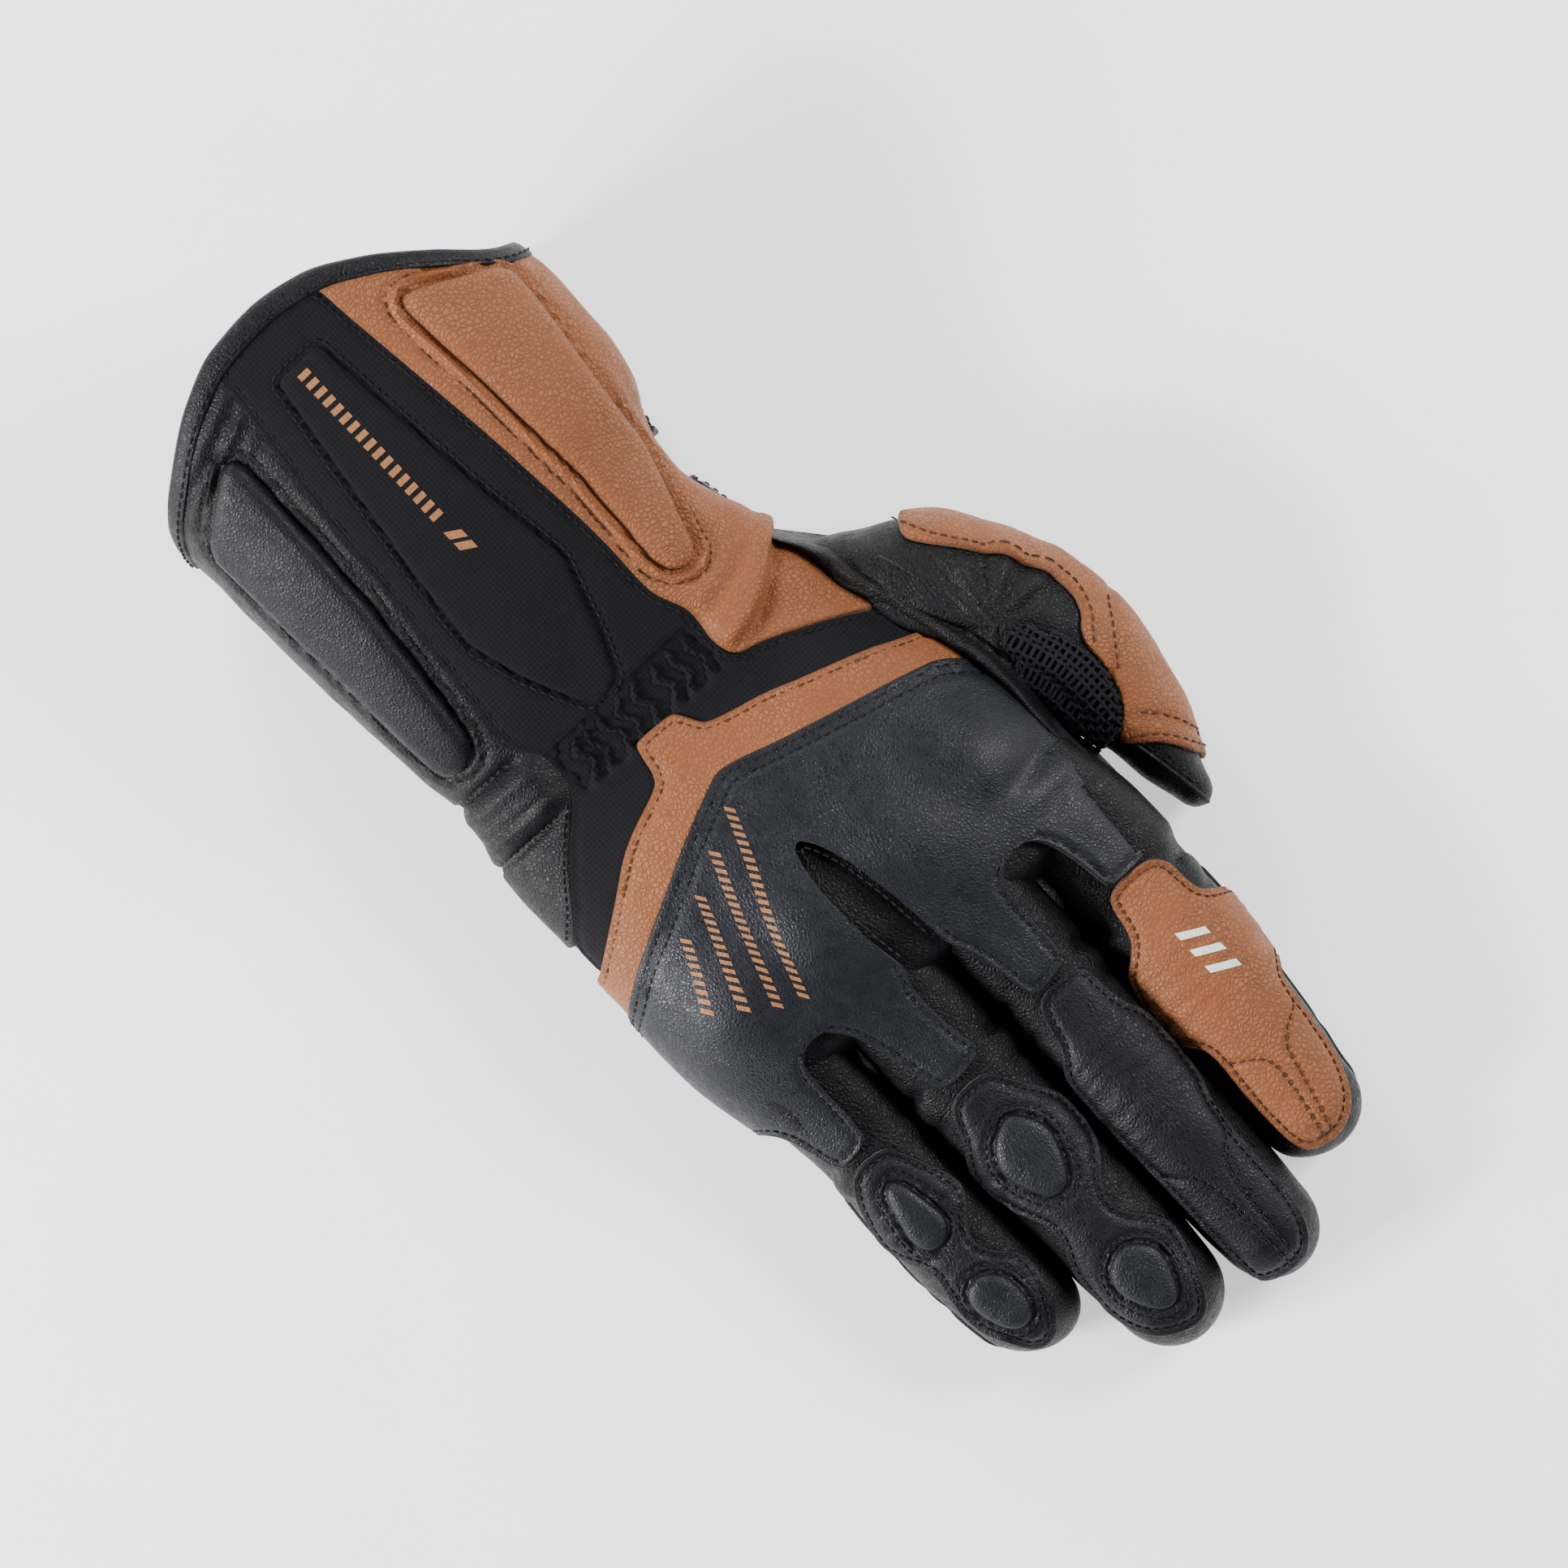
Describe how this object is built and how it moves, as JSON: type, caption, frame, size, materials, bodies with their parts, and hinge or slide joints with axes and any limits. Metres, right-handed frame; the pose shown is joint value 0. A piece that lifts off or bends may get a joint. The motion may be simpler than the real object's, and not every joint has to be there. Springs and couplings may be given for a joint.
{
  "type": "motorcycle riding glove",
  "caption": "Long-cuff leather motorcycle riding glove for the right hand, with bending fingers, thumb, wrist and closure flaps.",
  "frame": {"origin": "on the lower face of the palm grip patch, on the hand's centre line, with the glove lying palm down", "axes": "+X from the cuff to the fingertips, +Y towards the thumb, +Z out of the back of the hand"},
  "size_m": [0.324, 0.1479, 0.0672],
  "materials": {
    "tan_leather": "semi-matt full-grain leather, tan",
    "black_leather": "soft goat leather, black",
    "shield_leather": "smooth leather over hard armour, blue-grey black",
    "stretch_textile": "ripstop stretch textile, black",
    "mesh_fabric": "air mesh, black",
    "hook_loop": "hook-and-loop tape, black",
    "lining": "tricot lining, dark grey",
    "hard_armour": "moulded thermoplastic, black",
    "dark_thread": "bonded sewing thread, black",
    "brown_thread": "bonded sewing thread, brown",
    "pale_print": "screen print, off-white",
    "tan_print": "screen print, tan"
  },
  "bodies": {
    "hand": {"hand_tan_gusset": "tan_leather", "hand_heel_panel": "black_leather", "hand_back_panel": "stretch_textile", "palm_panel": "black_leather", "hand_liner": "lining", "hand_tan_band": "tan_leather", "knuckle_shield": "shield_leather", "knuckle_armour": "hard_armour", "palm_grip_patch": "black_leather", "palm_heel_slider": "hard_armour", "wrist_gusset": "stretch_textile", "wrist_elastic": "stretch_textile"},
    "cuff": {"cuff_thumb_panel": "tan_leather", "cuff_centre_panel": "stretch_textile", "cuff_outer_panel": "black_leather", "cuff_palm_panel": "black_leather", "cuff_binding": "black_leather", "cuff_liner": "lining", "cuff_thumb_pad": "tan_leather", "cuff_centre_pad": "stretch_textile", "cuff_outer_pad": "black_leather", "cuff_loop_patch": "hook_loop", "cuff_flap_anchor": "black_leather", "wrist_loop_patch": "hook_loop", "wrist_strap_anchor": "black_leather"},
    "cuff_flap": {"cuff_flap": "black_leather", "cuff_flap_hook": "hook_loop", "cuff_flap_pull": "black_leather"},
    "wrist_strap": {"wrist_strap": "black_leather", "wrist_strap_hook": "hook_loop"},
    "index_base": {"index_base": "black_leather", "index_base_overlay": "tan_leather"},
    "index_tip": {"index_tip": "black_leather", "index_tip_overlay": "tan_leather"},
    "middle_base": {"middle_base": "black_leather", "middle_base_overlay": "black_leather"},
    "middle_tip": {"middle_tip": "black_leather", "middle_tip_overlay": "black_leather"},
    "ring_base": {"ring_base": "black_leather", "ring_base_overlay": "black_leather", "ring_joint_pad": "shield_leather"},
    "ring_tip": {"ring_tip": "black_leather", "ring_tip_overlay": "black_leather", "ring_tip_pad": "shield_leather"},
    "little_base": {"little_base": "black_leather", "little_base_overlay": "black_leather", "little_joint_pad": "shield_leather"},
    "little_tip": {"little_tip": "black_leather", "little_tip_overlay": "black_leather", "little_tip_pad": "shield_leather"},
    "thumb_base": {"thumb_base_back": "black_leather", "thumb_base_palm": "black_leather", "thumb_mesh_insert": "mesh_fabric", "thumb_base_overlay": "tan_leather"},
    "thumb_tip": {"thumb_tip": "black_leather", "thumb_tip_overlay": "tan_leather"}
  },
  "joints": [
    {"name": "wrist_bend", "type": "hinge", "parent": "hand", "child": "cuff", "pos_m": [-0.05, 0, 0.026], "axis": [0, 1, 0], "range_deg": [-25, 25], "deforming": ["wrist_gusset", "wrist_elastic"]},
    {"name": "index_knuckle_bend", "type": "hinge", "parent": "hand", "child": "index_base", "pos_m": [0.04, 0.0523, 0.024], "axis": [0, 1, 0], "range_deg": [0, 50]},
    {"name": "index_middle_bend", "type": "hinge", "parent": "index_base", "child": "index_tip", "pos_m": [0.08, 0.0504, 0.017], "axis": [0, 1, 0], "range_deg": [0, 60]},
    {"name": "middle_knuckle_bend", "type": "hinge", "parent": "hand", "child": "middle_base", "pos_m": [0.04, 0.0234, 0.024], "axis": [0, 1, 0], "range_deg": [0, 50]},
    {"name": "middle_middle_bend", "type": "hinge", "parent": "middle_base", "child": "middle_tip", "pos_m": [0.088, 0.0229, 0.017], "axis": [0, 1, 0], "range_deg": [0, 60]},
    {"name": "ring_knuckle_bend", "type": "hinge", "parent": "hand", "child": "ring_base", "pos_m": [0.04, -0.0046, 0.024], "axis": [0, 1, 0], "range_deg": [0, 50]},
    {"name": "ring_middle_bend", "type": "hinge", "parent": "ring_base", "child": "ring_tip", "pos_m": [0.0845, -0.0046, 0.017], "axis": [0, 1, 0], "range_deg": [0, 60]},
    {"name": "little_knuckle_bend", "type": "hinge", "parent": "hand", "child": "little_base", "pos_m": [0.04, -0.0328, 0.024], "axis": [0, 1, 0], "range_deg": [0, 50]},
    {"name": "little_middle_bend", "type": "hinge", "parent": "little_base", "child": "little_tip", "pos_m": [0.077, -0.0315, 0.017], "axis": [0, 1, 0], "range_deg": [0, 60]},
    {"name": "thumb_spread", "type": "hinge", "parent": "hand", "child": "thumb_base", "pos_m": [-0.044, 0.06, 0.02], "axis": [0, 0, 1], "range_deg": [0, 20]},
    {"name": "thumb_tip_bend", "type": "hinge", "parent": "thumb_base", "child": "thumb_tip", "pos_m": [0.024, 0.0795, 0.017], "axis": [0, 1, 0], "range_deg": [0, 45]},
    {"name": "cuff_flap_open", "type": "hinge", "parent": "cuff", "child": "cuff_flap", "pos_m": [-0.117, 0.04, 0.0007], "axis": [1, 0, 0], "range_deg": [0, 120]},
    {"name": "wrist_strap_open", "type": "hinge", "parent": "cuff", "child": "wrist_strap", "pos_m": [-0.073, 0.036, 0.0027], "axis": [1, 0, 0], "range_deg": [0, 120]}
  ]
}
